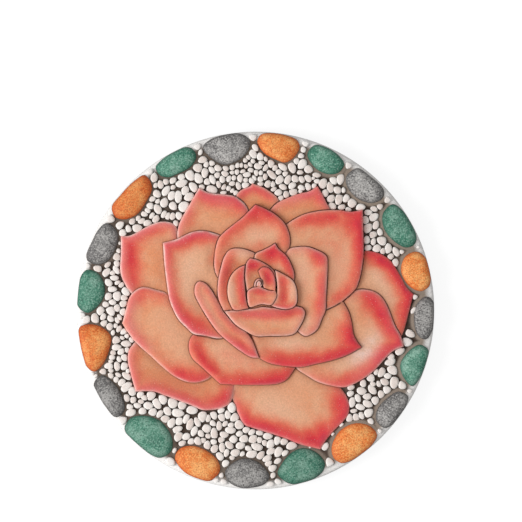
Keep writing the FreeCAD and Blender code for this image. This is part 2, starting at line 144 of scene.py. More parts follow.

# Petals from the lowest up. Each has its layer, the highest point of its lip, the root that it slopes down
# to, how orange its middle is, how pink its blush is, how pale its lip is, which is a painted highlight
# partly of pale paint, its free edges, its hidden root and its strokes. A free edge is a row of points on
# a smooth curve: x, y and how red the lip is there, in tenths. A stroke has its paint, reach and strength,
# and the points that it runs through. Crease and wash strokes paint a dark line and a brown wash that are
# painted shade, and a pale stroke is a painted highlight.
PETALS = {
    "north_guard": (0.0, (-2, 90), (0, 58), 0.8, 0.5, 0.5, [
        [(-16, 70, 1), (-13.5, 81.5, 2), (-10, 85.5, 3), (-4, 88, 4), (-2, 90, 5)],
        [(-2, 90, 5), (5, 87.5, 4), (10, 84.5, 3), (15, 80.5, 2), (18, 75, 1)],
    ], [(20, 62), (-14, 60)], [
        ("blush", 4.5, 0.85, [(-12, 80), (-7, 85), (-2, 87), (6, 84), (13, 79)]),
        ("warm", 7, 1.2, [(-6, 75), (8, 76)]),
        ("wash", 5, 0.4, [(-9, 72), (0, 75), (9, 72)]),
    ]),
    "east_guard": (0.0, (112.5, 11), (76, 4), 0.1, 0.1, 0.2, [
        [(74, 36, 1), (77, 42, 4), (83, 41.8, 9), (90, 39.5, 10), (96, 35, 10), (100, 29, 10),
         (104, 22, 10), (107, 16.5, 10), (112, 11.5, 10)],
        [(112, 11.5, 10), (109, 0, 10), (107, -8, 9), (104.5, -16, 6), (101, -23, 4)],
    ], [(90, -10), (66, 4), (66, 30)], [
        ("blush", 7, 1.3, [(84, 39), (97, 31), (105, 18), (110, 10)]),
        ("blush", 5, 0.9, [(110, 10), (107, -5), (104, -14)]),
        ("light", 8, 0.7, [(84, 28), (91, 19), (98, 4)]),
    ]),
    "south_guard": (0.0, (46, -98.5), (14, -46), 0.2, 0.3, 0.4, [
        [(-16, -46, 0), (-17, -54, 1), (-17, -60, 2), (-15, -66, 5), (-12.5, -73, 8), (-8, -81, 9),
         (-3, -83, 10), (13, -88, 10), (22, -91, 10), (32, -95, 10), (46, -98.5, 10)],
        [(46, -98.5, 10), (50, -92, 10), (55, -86, 10), (65, -75, 10), (66.5, -70, 10), (65.5, -63, 9),
         (62, -57, 7), (56, -50, 4)],
    ], [(40, -40), (0, -40)], [
        ("blush", 11, 0.85, [(62, -58), (61, -74)]),
        ("blush", 11, 1.25, [(36, -92), (46, -95), (52, -84)]),
        ("blush", 8, 0.95, [(-12, -68), (-6, -80), (14, -86), (34, -93)]),
        ("light", 14, 0.5, [(4, -68), (24, -73)]),
        ("warm", 12, 0.6, [(20, -56), (38, -62)]),
        ("crease", 1.1, 1.0, [(-16.4, -52), (-16.8, -60), (-15, -65.5)]),
    ]),
    "south_west_guard": (0.15, (-85, -57.5), (-40, -40), 0.8, 0.7, 0.8, [
        [(-80, -18, 2), (-87, -24, 3), (-90, -29, 4), (-90.5, -36, 5), (-89, -43, 6), (-85, -57.5, 6)],
        [(-85, -57.5, 6), (-72, -57.5, 8), (-65, -60, 8), (-45, -67.5, 8), (-38, -70.5, 9),
         (-30, -70.5, 10), (-23, -69, 9), (-18, -65.5, 8), (-15.5, -60, 6), (-14, -48, 2)],
    ], [(-25, -38), (-60, -22)], [
        ("blush", 9, 0.9, [(-36, -66), (-24, -65), (-18, -57)]),
        ("blush", 6, 0.6, [(-78, -53), (-60, -57), (-45, -63)]),
        ("warm", 10, 1.2, [(-76, -42), (-60, -50), (-42, -56)]),
        ("blush", 12, 0.35, [(-70, -46), (-54, -53), (-38, -58)]),
        ("wash", 13, 0.5, [(-76, -38), (-60, -49), (-36, -56)]),
        ("wash", 4, 0.9, [(-83, -26), (-71, -37), (-58, -47)]),
        ("wash", 2.5, 0.8, [(-16, -50), (-15.8, -60), (-18, -65)]),
    ]),
    "west_guard": (0.0, (-95.5, 53), (-64, 26), 0.5, 0.9, 1.0, [
        [(-82, 7, 2), (-89, 13, 3), (-92, 17.5, 4), (-95, 24, 5), (-96, 30, 5), (-95.5, 40, 5),
         (-95.5, 53, 5)],
        [(-95.5, 53, 5), (-90, 53, 6), (-84, 55.5, 7), (-77, 59.5, 7), (-70, 62.5, 6), (-63, 63, 5),
         (-57, 60.5, 4), (-54, 50, 2)],
    ], [(-50, 36), (-50, 4), (-76, 2)], [
        ("blush", 8, 0.85, [(-88, 52), (-88.5, 42), (-88.5, 30), (-86, 16)]),
        ("blush", 7, 0.7, [(-88, 51), (-77, 56), (-64, 58)]),
        ("warm", 11, 0.8, [(-74, 44), (-73, 24)]),
        ("wash", 4, 0.6, [(-66, 44), (-66, 26), (-67, 17)]),
    ]),
    "north_east_guard": (0.8, (44, 88), (26, 58), 0.8, 0.6, 0.3, [
        [(8, 68, 1), (11, 72, 2), (15, 76, 3), (30, 82.5, 5), (38, 84.5, 6), (44, 88, 8)],
        [(44, 88, 8), (47, 83, 8), (50, 77, 6), (53, 71, 4), (54, 64, 2)],
    ], [(45, 58), (15, 58)], [
        ("blush", 5, 0.75, [(30, 80), (42, 84), (49, 74)]),
        ("pink", 4, 0.8, [(22, 78), (36, 83), (43, 85)]),
        ("warm", 8, 1.2, [(20, 74), (38, 75)]),
    ]),
    "north_west": (1.0, (-40, 87), (-24, 48), 0.5, 0.7, 0.9, [
        [(-54, 46, 2), (-55.5, 53, 3), (-54.5, 60, 4), (-51.5, 67, 4), (-48, 73, 4), (-44, 80, 5),
         (-40, 87, 7)],
        [(-40, 87, 7), (-33, 83.5, 9), (-24, 82.5, 10), (-15, 81, 10), (-9, 77, 9), (-5.5, 72, 7),
         (-4, 62, 4)],
    ], [(-10, 52), (-35, 44)], [
        ("blush", 7, 0.5, [(-49, 58), (-45, 74)]),
        ("blush", 7, 0.85, [(-42, 84), (-26, 80), (-12, 77)]),
        ("pink", 5, 0.6, [(-42, 83), (-28, 80), (-16, 77)]),
        ("warm", 11, 0.8, [(-34, 66), (-18, 68)]),
    ]),
    "west": (1.0, (-94, -9), (-43, -4), 0.5, 0.2, 0.7, [
        [(-58, 4, 2), (-63, 12, 4), (-70, 14.5, 6), (-80, 16.5, 6), (-86, 13.5, 5), (-89.5, 9, 5),
         (-92, 0, 4), (-94.5, -9, 4)],
        [(-94.5, -9, 4), (-90.5, -15.5, 4), (-84, -23.5, 4), (-74, -32.5, 4), (-66, -40, 5),
         (-57, -47, 9), (-48, -50.8, 10), (-40, -51, 10), (-33, -48.5, 7), (-26, -42, 4)],
    ], [(-24, -34), (-42, -8)], [
        ("blush", 7, 0.55, [(-86, 6), (-77, 12), (-66, 10)]),
        ("blush", 8, 1.0, [(-60, -42), (-50, -47), (-40, -48)]),
        ("pink", 5, 0.8, [(-86, 12), (-91, -4), (-87, -18), (-76, -29)]),
        ("blush", 6, 0.45, [(-88, -8), (-80, -24), (-66, -37)]),
        ("light", 10, 0.3, [(-66, -6), (-56, -22), (-44, -36)]),
        ("wash", 6, 0.3, [(-64, 6), (-54, -12), (-46, -26)]),
    ]),
    "south_east": (1.1, (105, -25.5), (56, -16), 0.2, 0.4, 0.6, [
        [(24, -35, 0), (30, -42, 1), (36, -46, 2), (45, -51, 4), (62, -54.5, 8), (68, -53, 9),
         (82, -44.5, 9), (93, -33, 10), (98, -28.5, 10), (105, -25.5, 10)],
        [(105, -25.5, 10), (103, -18, 10), (99, -11, 10), (93, 4, 8), (89, 10, 5), (84, 13.5, 3),
         (77, 15, 2), (72, 14.5, 2), (64, 10, 1)],
    ], [(55, 0), (28, -24)], [
        ("blush", 9, 1.05, [(78, 12), (86, 4), (94, -10), (100, -22)]),
        ("blush", 8, 0.8, [(96, -31), (80, -44), (64, -52)]),
        ("pink", 5, 0.4, [(98, -27), (84, -40), (68, -50)]),
        ("light", 7, 0.6, [(88, -6), (84, -24), (70, -36), (52, -43)]),
        # A pale streak across the petal: painted highlight.
        ("pale", 5.5, 0.8, [(85, -20), (79, -28), (70, -34)]),
        ("warm", 9, 0.6, [(44, -44), (58, -46)]),
    ]),
    "south_west_inner": (1.9, (-25, -52), (-14, -22), 0.2, 0.1, 0.2, [
        [(-34, -13, 4), (-44, -17, 7), (-47, -22, 7), (-47, -28, 6), (-44.5, -34, 5), (-38, -40, 5),
         (-25, -52, 7)],
        [(-25, -52, 8), (-15, -52.5, 10), (10, -52.5, 10), (17, -51.5, 10), (22, -49, 9), (26, -44, 8),
         (31, -36, 4)],
    ], [(33, -25), (0, -18), (-22, -8)], [
        ("blush", 6.5, 0.85, [(-42, -18), (-42, -27), (-35, -38), (-22, -48)]),
        ("blush", 8, 0.8, [(-20, -47), (0, -49), (18, -47), (25, -40)]),
        ("light", 8, 0.5, [(-28, -27), (-14, -33), (0, -36)]),
        ("blush", 16, 0.32, [(-22, -34), (8, -40)]),
    ]),
    "west_inner": (2.2, (-65.5, 47.5), (-30, 50), 0.0, 0.7, 1.0, [
        [(-18, 46, 1), (-25, 53, 4), (-30, 55, 7), (-37, 56.5, 9), (-45, 55.5, 10), (-56, 50.5, 10),
         (-65.5, 48, 9)],
        [(-65.5, 48, 8), (-64.5, 33, 6), (-62.5, 17, 6), (-61, 8, 7), (-58, 0, 8), (-54, -7, 9),
         (-49, -12, 10), (-44, -16.5, 10), (-35, -18.5, 8), (-25, -20, 4), (-16, -17, 0)],
    ], [(-4, -8), (-4, 35)], [
        ("blush", 8, 0.85, [(-62, 46), (-50, 52), (-34, 53)]),
        ("blush", 9, 0.75, [(-54, 0), (-44, -10), (-32, -14)]),
        ("blush", 5, 0.45, [(-27, 48), (-30, 34)]),
        ("light", 10, 0.5, [(-45, 40), (-49, 24), (-47, 8)]),
        ("wash", 4, 0.6, [(-46, 15), (-41, 2), (-34, -8)]),
        ("wash", 3, 0.6, [(-33, 46), (-33, 26)]),
    ]),
    "south_inner": (2.3, (75, -26), (61, 12), 0.2, 0.1, 0.2, [
        [(-3, -17, 2), (0, -27, 2), (2.5, -33, 3), (8, -36.5, 6), (15, -38.5, 9), (32, -40, 10),
         (42, -38, 10), (55, -35, 10), (65, -31.5, 10), (75, -26, 9)],
        [(75, -26, 9), (72, -22, 10), (69.5, -17, 9), (68, -8, 6), (66, -1, 4), (60, 10, 1)],
    ], [(40, 8), (10, -8)], [
        ("blush", 11, 1.0, [(67, -12), (69, -24)]),
        ("blush", 8, 0.85, [(66, -29), (44, -35), (22, -36), (8, -31)]),
        ("light", 8, 0.7, [(14, -23), (34, -24)]),
        ("warm", 8, 0.6, [(52, -14), (50, -22)]),
    ]),
    "north_east": (2.7, (76, 71.5), (27, 62), 0.1, 0.1, 0.4, [
        [(15, 54, 0), (22, 61, 1), (33, 67.5, 2), (42, 70, 3), (50, 71, 4), (60, 71, 6), (68, 70, 9),
         (76, 71.5, 10)],
        [(76, 71.5, 10), (76.5, 50, 10), (76.5, 40, 9), (75, 28, 7), (73, 20, 6), (71, 15.5, 5),
         (60, 5.5, 5), (49, 0, 2), (42, -3, 0)],
    ], [(36, 10), (14, 44)], [
        ("blush", 8, 0.75, [(28, 61), (40, 65), (56, 66), (66, 65)]),
        ("blush", 15, 1.05, [(70, 66), (73, 60)]),
        ("blush", 8, 0.6, [(73, 52), (72, 30), (64, 12), (50, 3)]),
        ("light", 12, 0.4, [(60, 40), (58, 26)]),
        ("blush", 18, 0.3, [(44, 54), (60, 44), (60, 26)]),
        ("wash", 4, 0.5, [(53, 40), (54, 22), (53, 4)]),
    ]),
    "finger_fold": (3.3, (-23, -19), (-10, -6), 0.6, 0.5, 0.5, [
        [(2.5, -33.5, 6), (-3, -33, 9), (-10, -29, 10), (-18, -23, 7), (-25, -17, 4), (-30, -11, 4),
         (-40, 5, 4), (-43, 12, 4), (-42.5, 18, 4), (-40, 20.5, 4), (-36, 19.5, 3), (-32, 15.5, 4),
         (-28, 9, 5), (-21, -3, 5), (-14, -10, 6), (-6, -16, 5), (-2, -22, 4), (2.5, -33.5, 5)],
    ], [], [
        ("blush", 6, 0.9, [(-14, -23), (-4, -29)]),
        ("blush", 5, 0.5, [(-32, 8), (-20, -8), (-12, -17)]),
        # Pale along the fold's left side: painted highlight.
        ("light", 3, 0.6, [(-40, 14), (-34, 2), (-25, -11)]),
    ]),
    "north_inner": (3.6, (0, 75), (0, 30), 0.3, 0.1, 0.4, [
        [(-20, 16, 3), (-27, 24, 4), (-29, 30, 4), (-29, 38, 5), (-28, 45, 5), (-26, 51, 5),
         (-22, 55.5, 6), (-9, 66, 8), (-5, 70, 10), (0, 75, 10)],
        [(0, 75, 10), (7, 72, 10), (14, 68, 8), (20, 62.5, 6), (23, 57, 6), (24.5, 50, 6), (24, 45, 5),
         (18, 32, 1)],
    ], [(14, 26), (-13, 18)], [
        ("blush", 12, 1.0, [(-3, 70), (4, 70)]),
        ("blush", 8, 0.55, [(-10, 63), (-22, 51), (-25, 40), (-24, 30)]),
        ("blush", 7, 0.5, [(12, 65), (20, 56), (21, 45)]),
        ("light", 10, 0.6, [(-3, 54), (8, 53)]),
        ("blush", 6, 0.4, [(-4, 43), (8, 48)]),
    ]),
    "east_inner": (3.6, (50, 36), (20, 30), 0.1, 0.5, 0.5, [
        [(17, 32, 0), (24, 43.5, 1), (30, 45, 2), (37, 45, 3), (43, 43, 6), (48, 40.5, 7), (50.5, 38, 7),
         (51, 32, 5), (50, 10, 5), (49.5, 0, 5), (47, -6, 4), (44, -13, 3), (40, -16.5, 1), (35, -18, 1),
         (26, -11, 0)],
    ], [(21, 5)], [
        ("blush", 8, 0.9, [(43, 40), (47, 34)]),
        ("blush", 6.5, 0.65, [(47, 30), (47, 12), (45, -6)]),
        ("light", 9, 0.55, [(34, 36), (33, 20)]),
        ("blush", 12, 0.22, [(36, 38), (36, 4)]),
        ("light", 4, 0.8, [(37, -5), (35, -13)]),
    ]),
    "west_wrap": (4.5, (-24, 36), (-10, 22), 0.6, 0.3, 0.5, [
        [(2, 36, 2), (0, 40, 2), (-5, 42.5, 1), (-12, 44, 1), (-18, 43, 3), (-22, 38, 5), (-24.5, 30, 5),
         (-26.5, 20, 5), (-26.5, 10, 5), (-24, 3, 4), (-21, -1.5, 4), (-8, -3, 2)],
    ], [(14, -3), (16, 14)], [
        ("blush", 5.5, 0.8, [(-18, 37), (-22, 20), (-21, 6)]),
        ("light", 4, 0.9, [(-14, 41), (-5, 40)]),
        ("wash", 4, 0.8, [(-12, 34), (-20, 26), (-21, 10)]),
    ]),
    "north_point": (4.7, (14, 47.5), (14, 24), 0.4, 0.1, 0.4, [
        [(-1, 33, 1), (0, 40, 2), (5, 42.5, 4), (10, 45, 7), (14, 47.5, 10)],
        [(14, 47.5, 10), (16, 44, 9), (22, 38.5, 9), (25.5, 32, 9), (27.5, 25, 7), (26, 15, 1)],
    ], [(10, 18)], [
        ("blush", 9, 1.0, [(9, 41), (15, 42)]),
        ("blush", 6, 0.8, [(22, 36), (25, 27)]),
        ("light", 4, 0.3, [(12, 34), (18, 30)]),
    ]),
    "south_cup": (4.9, (5, 3), (8, -28), 0.2, 0.4, 0.6, [
        [(-22, -0.5, 2), (-10, 0.5, 3), (0, 1.5, 4), (5, 2.5, 4), (10, 2, 5), (20, 1.5, 9), (28, 3, 9),
         (33, 2, 5)],
        [(33, 2, 3), (35, -1, 2), (34, -6, 1), (31, -12, 1), (28, -16, 1), (24, -17.5, 1), (10, -18, 1),
         (0, -18, 1), (-8, -14, 1), (-14, -10, 2), (-22, -0.5, 2)],
    ], [], [
        ("blush", 5.5, 0.7, [(-16, -2), (6, -3), (20, -3)]),
        ("pink", 4, 0.45, [(-14, -1), (4, -2), (18, -2)]),
        ("blush", 6, 0.9, [(20, -1), (29, 0)]),
        ("warm", 6, 0.8, [(-6, -13), (10, -16), (24, -13)]),
        ("wash", 2, 0.5, [(-4, -17.5), (24, -17.3)]),
    ]),
    "bud_back": (5.4, (-3.5, 37), (2, 18), 0.7, 0.2, 0.5, [
        [(-6, 14, 2), (-7.5, 25, 4), (-7, 31, 7), (-5.5, 35, 8), (-3.5, 37, 8)],
        [(-3.5, 37, 8), (2, 35.5, 7), (11, 30, 6), (14, 26, 6), (14.5, 20, 6), (13, 10, 4)],
    ], [(5, 7), (-5, 9)], [
        ("blush", 5, 1.0, [(-6, 32), (2, 32)]),
        ("wash", 4, 0.7, [(-4, 26), (-2, 16)]),
    ]),
    "bud_left": (5.8, (-16, 26), (-6, 10), 0.4, 0.2, 0.3, [
        [(-5, 1.5, 5), (-6, 5, 7), (-7, 13, 8), (-8, 22, 8), (-7.5, 32, 6)],
        [(-7.5, 32, 3), (-12, 30, 2), (-17, 25, 1), (-19.5, 18, 1), (-19.5, 10, 1), (-18, 5, 1),
         (-15, 0.5, 4), (-5, 1.5, 5)],
    ], [], [
        ("blush", 5.5, 0.95, [(-10, 28), (-9.5, 14), (-8, 3)]),
        # Pale along the left lip: painted highlight.
        ("light", 4, 0.9, [(-16.5, 20), (-17, 8)]),
        ("crease", 0.8, 1.0, [(-7.5, 31.5), (-7.2, 20), (-6.4, 10), (-5.4, 3)]),
    ]),
    "bud_right": (5.8, (26, 22), (16, 10), 0.2, 0.2, 0.6, [
        [(11, 3.5, 3), (13, 6, 2), (15, 11, 1), (15.5, 17, 1), (14, 28.5, 4)],
        [(14, 28.5, 4), (20, 25.5, 4), (26, 21.5, 2), (28.5, 17, 1), (29.5, 10, 2), (29, 5, 5),
         (27, 2.5, 7), (22, 1, 9), (15, 2, 7), (11, 3.5, 4)],
    ], [], [
        ("blush", 5.5, 0.85, [(19, 24), (20, 14), (19, 4)]),
        # Pale along the left lip: painted highlight.
        ("light", 1.8, 0.9, [(15, 27), (16, 16), (14, 6)]),
        ("light", 3, 0.7, [(25, 18), (26, 9)]),
    ]),
    "bud_front": (5.8, (3, 17), (4, 2), 0.7, 0.3, 0.5, [
        [(-5.5, 6, 3), (-5.5, 13.5, 5), (-2, 16, 7), (3, 17, 8)],
        [(3, 17, 8), (5, 16, 7), (10, 14, 6), (14, 14, 4)],
        [(14, 14, 4), (15, 11, 3), (13, 6, 2), (11, 4, 2), (4, 4.5, 2), (-4, 2.5, 2), (-5.5, 6, 3)],
    ], [], [
        ("blush", 4.5, 0.9, [(-1, 14), (7, 13)]),
        ("blush", 8, 0.42, [(-2, 8), (9, 7)]),
    ]),
    "bud_fold": (6.05, (7, 30.5), (9, 14), 0.8, 0.2, 0.3, [
        [(6, 16, 4), (5, 19, 4), (3.5, 24, 5), (2, 28, 6)],
        [(2, 28, 6), (5, 30.5, 8), (9, 30, 9), (12.5, 26, 8), (14, 20, 7), (14, 14, 5)],
    ], [], [
        ("blush", 4.5, 1.0, [(7, 28), (10, 20)]),
    ]),
    "bud_core": (5.9, (1.5, 22.7), (2, 17), 0.6, 0.5, 0.7, [
        [(-1, 17, 5), (-0.2, 20.5, 6), (2, 22.5, 7), (4.5, 21.5, 7), (5, 18.5, 5), (3.5, 16.5, 4)],
    ], [], [
        ("crease", 0.7, 0.9, [(2.6, 22.2), (4.6, 20.8), (4.6, 18)]),
    ]),
    "bud_heart": (6.05, (2.6, 21), (2, 17), 0.6, 0.7, 0.9, [
        [(0.8, 17.4, 3), (1.2, 19.8, 3), (2.6, 20.8, 3), (3.7, 19.6, 4), (3.4, 17.6, 4)],
    ], [], []),
}

# Border stones, clockwise from the top: paint, how light it is, and points on the smooth outline. The
# mortar round the stones on the right is bare.
STONES = [
    ("orange", 1.0, [(1, 120), (4, 125), (11.5, 126), (23, 124), (30, 120.5), (31.5, 115.5), (28, 109),
        (21.5, 104.7), (14, 107), (5.5, 112)]),
    ("teal", 1.0, [(36.5, 111), (42, 117.4), (51, 115.5), (59, 110), (63.2, 103.7), (59.7, 98),
        (52, 96.4), (42.5, 100.7)]),
    ("grey", 0.95, [(64, 95), (71.8, 101), (82, 94.7), (91, 85.6), (90.2, 79.2), (82, 76), (71.8, 79.6),
        (65, 87.4)]),
    ("teal", 0.95, [(96.7, 75.5), (102.7, 72.7), (109.6, 63.3), (114.3, 52), (112.6, 46.3), (106.6, 44.4),
        (97.5, 49.5), (91, 58), (90, 68.4)]),
    ("orange", 1.1, [(114, 42), (120, 38.4), (124.2, 28), (123.3, 17.3), (117.3, 13.4), (108.7, 17.3),
        (103, 28), (106, 38.4)]),
    ("grey", 0.91, [(120.8, 10.2), (126, 6.8), (127, -2.7), (126, -13), (120.8, -20.7), (115.2, -18),
        (112.2, -7), (114, 4.2)]),
    ("teal", 1.0, [(116.5, -24), (122.5, -27.6), (123, -34.5), (118.2, -45.6), (111.3, -53.8),
        (105.7, -49), (102.4, -38.8), (108, -29.3)]),
    ("grey", 0.91, [(101.8, -57.2), (108.3, -61), (106, -69.7), (99.3, -79.2), (91.5, -83.5),
        (85.5, -78.3), (86, -70.6), (93.2, -62)]),
    ("orange", 1.05, [(69.2, -80), (80.4, -81.3), (86.4, -87.8), (82, -96.4), (71, -105), (61.4, -108.4),
        (55.4, -105), (53.7, -97.2), (59, -86)]),
    ("teal", 0.88, [(34, -97.2), (44.2, -101), (49.6, -108.4), (47.7, -114.4), (37.4, -121.5),
        (24.5, -123), (15.4, -116), (18.5, -108.4), (25.3, -100.7)]),
    ("grey", 0.85, [(-8.7, -104.6), (1.3, -107), (8, -113), (10.3, -118.5), (6, -123.5), (-3, -125.8),
        (-11.2, -125.7), (-19.8, -120.8), (-22, -114.3), (-16.4, -108)]),
    ("orange", 1.0, [(-44.8, -95.7), (-34.5, -99.3), (-26.3, -106.6), (-25, -114), (-32, -120.8),
        (-41.3, -119.2), (-51.2, -114), (-57.5, -104.6), (-53.8, -97.7)]),
    ("teal", 0.93, [(-80, -74.2), (-68, -77.8), (-60.2, -87.2), (-58.4, -95.8), (-61, -101.8),
        (-68, -104.6), (-76.6, -101), (-87.8, -92.4), (-93, -83.8), (-89, -76.2)]),
    ("grey", 0.8, [(-109.2, -45.5), (-99.8, -52), (-94.6, -60.6), (-92.5, -69.2), (-95, -74.5),
        (-99.8, -75.6), (-107, -67.5), (-113, -59), (-114.8, -52)]),
    ("orange", 0.9, [(-114.4, -9.7), (-105.8, -13.7), (-102.2, -19), (-104, -29.6), (-108.8, -39.5),
        (-114.4, -43.6), (-120, -39.5), (-124.3, -28), (-126, -17), (-124, -11)]),
    ("teal", 0.93, [(-119, 29.3), (-111.3, 26.4), (-107.6, 20), (-106.7, 13.4), (-109.2, 5.8), (-119, -2),
        (-126.3, 3.5), (-126, 17.6), (-123, 26)]),
    ("grey", 0.87, [(-105.5, 62.3), (-99.6, 58.6), (-97, 52), (-99.2, 43.5), (-104.6, 35), (-112.2, 32.2),
        (-119, 35), (-120, 39.3), (-116.3, 48.5), (-111.3, 57.7)]),
    ("orange", 0.87, [(-78.7, 96.2), (-74.5, 92), (-73.2, 86.2), (-77.8, 76.2), (-83.7, 68.2),
        (-92, 64.4), (-99.6, 66), (-102, 73.6), (-95.8, 82), (-87, 91.2)]),
    ("teal", 0.97, [(-49.4, 116), (-44, 114.2), (-41.8, 109.2), (-45.6, 102), (-54.4, 97), (-62, 94.2),
        (-68.6, 96.2), (-71, 101.3), (-66, 107.5), (-57.7, 112.6)]),
    ("grey", 0.97, [(-11, 125.5), (-3.6, 120.5), (-5, 113.4), (-11, 107), (-21.7, 103), (-30, 106.7),
        (-37.7, 115.5), (-32, 121.4), (-21.7, 124.7)]),
]


def through(points, step, closed=False):
    """Points every step along a smooth curve through given ones, without the last. The columns after
    x and y are carried along."""
    rows = np.array(points, float)
    if closed:
        rows = np.vstack([rows[-1], rows, rows[:2]])
    else:
        rows = np.vstack([2 * rows[0] - rows[1], rows, 2 * rows[-1] - rows[-2]])
    found = []
    for a, b, c, d in zip(rows, rows[1:], rows[2:], rows[3:]):
        knots = np.cumsum([0] + [math.sqrt(math.dist(p[:2], q[:2])) for p, q in ((a, b), (b, c), (c, d))])
        ka, kb, kc, kd = knots
        count = max(2, math.ceil(math.dist(b[:2], c[:2]) / step))
        t = np.linspace(kb, kc, count, endpoint=False)[:, None]
        ab = ((kb - t) * a + (t - ka) * b) / (kb - ka)
        bc = ((kc - t) * b + (t - kb) * c) / (kc - kb)
        cd = ((kd - t) * c + (t - kc) * d) / (kd - kc)
        abc = ((kc - t) * ab + (t - ka) * bc) / (kc - ka)
        bcd = ((kd - t) * bc + (t - kb) * cd) / (kd - kb)
        found.append(((kc - t) * abc + (t - kb) * bcd) / (kc - kb))
    return np.vstack(found)


def straight(points, step):
    """Points every step along straight runs, without the last."""
    found = []
    for a, b in zip(points, points[1:]):
        count = max(1, math.ceil(math.dist(a, b) / step))
        share = np.linspace(0, 1, count, endpoint=False)[:, None]
        found.append((1 - share) * np.array(a, float) + share * np.array(b, float))
    return np.vstack(found)


def is_inside(points, loop):
    """Which points lie inside a closed outline."""
    found = np.zeros(len(points), bool)
    low, high = loop.min(axis=0), loop.max(axis=0)
    near = np.all((points > low) & (points < high), axis=1)
    x, y = points[near].T
    hits = np.zeros(len(x), bool)
    for (ax, ay), (bx, by) in zip(loop, np.roll(loop, -1, axis=0)):
        if ay != by:
            hits ^= ((ay > y) != (by > y)) & (x < (bx - ax) * (y - ay) / (by - ay) + ax)
    found[near] = hits
    return found


def distance(points, line):
    """Distance from each point to the nearest of a line's points."""
    if not len(points):
        return np.zeros(0)
    found = [np.sqrt(((points[i:i + CHUNK, None] - line[None]) ** 2).sum(axis=2)).min(axis=1)
             for i in range(0, len(points), CHUNK)]
    return np.concatenate(found)


def stroke(points, line, reach):
    """How strongly an airbrush stroke along the line colours each point; it fades out at both ends."""
    along = np.linspace(-1, 1, len(line))
    flow = 1 - STROKE_FADE * along ** 4
    away = np.hypot(points[:, None, 0] - line[None, :, 0], points[:, None, 1] - line[None, :, 1])
    return (flow * np.exp(-(away / reach) ** STROKE_SOFTNESS)).max(axis=1)


def outward(loop):
    """Unit normals that point out of an outline drawn anticlockwise."""
    along = np.roll(loop, -1, axis=0) - np.roll(loop, 1, axis=0)
    along /= np.linalg.norm(along, axis=1)[:, None]
    return np.column_stack([along[:, 1], -along[:, 0]])


def neighbours(count):
    """Pairs of neighbours round a closed ring."""
    return [(i, (i + 1) % count) for i in range(count)]


def band(low, high, count):
    """Faces between two rings, each given by the number of its first point."""
    return [(low + i, low + j, high + j, high + i) for i, j in neighbours(count)]


def circle(count):
    """Points round a circle of radius 1."""
    turns = np.linspace(0, 2 * math.pi, count, endpoint=False)
    return np.column_stack([np.cos(turns), np.sin(turns)])


def staggered(low, high, step):
    """An even grid of points in staggered rows."""
    rows = np.arange(low[1], high[1], step * math.sqrt(0.75))
    columns = np.arange(low[0], high[0], step)
    return np.array([(x + (i % 2) * step / 2, y) for i, y in enumerate(rows) for x in columns])


def triangles(points, loop_length):
    """Triangles over 2-D points, the first of which are the closed outline that bounds them."""
    edges = neighbours(loop_length)
    flat, _, faces, sources, _, _ = delaunay_2d_cdt([Vector(p) for p in points], edges, [], 1, WELD)
    place = {source: i for i, found in enumerate(sources) for source in found}
    return np.array([p[:] for p in flat]), faces, [place[i] for i in range(loop_length)]


class Build:
    """Collects points, faces and painted values of one piece, in millimetres."""

    def __init__(self):
        self.points = []
        self.faces = []
        self.values = {}
        self.count = 0

    def add(self, points, faces, **values):
        self.points.append(points)
        self.faces.extend(tuple(i + self.count for i in face) for face in faces)
        for name, value in values.items():
            self.values.setdefault(name, []).append(np.broadcast_to(value, len(points)))
        self.count += len(points)

    def piece(self, name, material, sharp_angle=SHARP_ANGLE):
        mesh = bpy.data.meshes.new(name)
        mesh.from_pydata((np.vstack(self.points) * MM).tolist(), [], self.faces)
        for value_name, parts in self.values.items():
            layer = mesh.attributes.new(value_name, "FLOAT", "POINT")
            layer.data.foreach_set("value", np.concatenate(parts).astype(np.float32))
        mesh.materials.append(material)
        mesh.shade_smooth()
        mesh.set_sharp_from_angle(angle=math.radians(sharp_angle))
        item = bpy.data.objects.new(name, mesh)
        bpy.context.collection.objects.link(item)
        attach(item, "root")
        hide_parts("cast_stone")


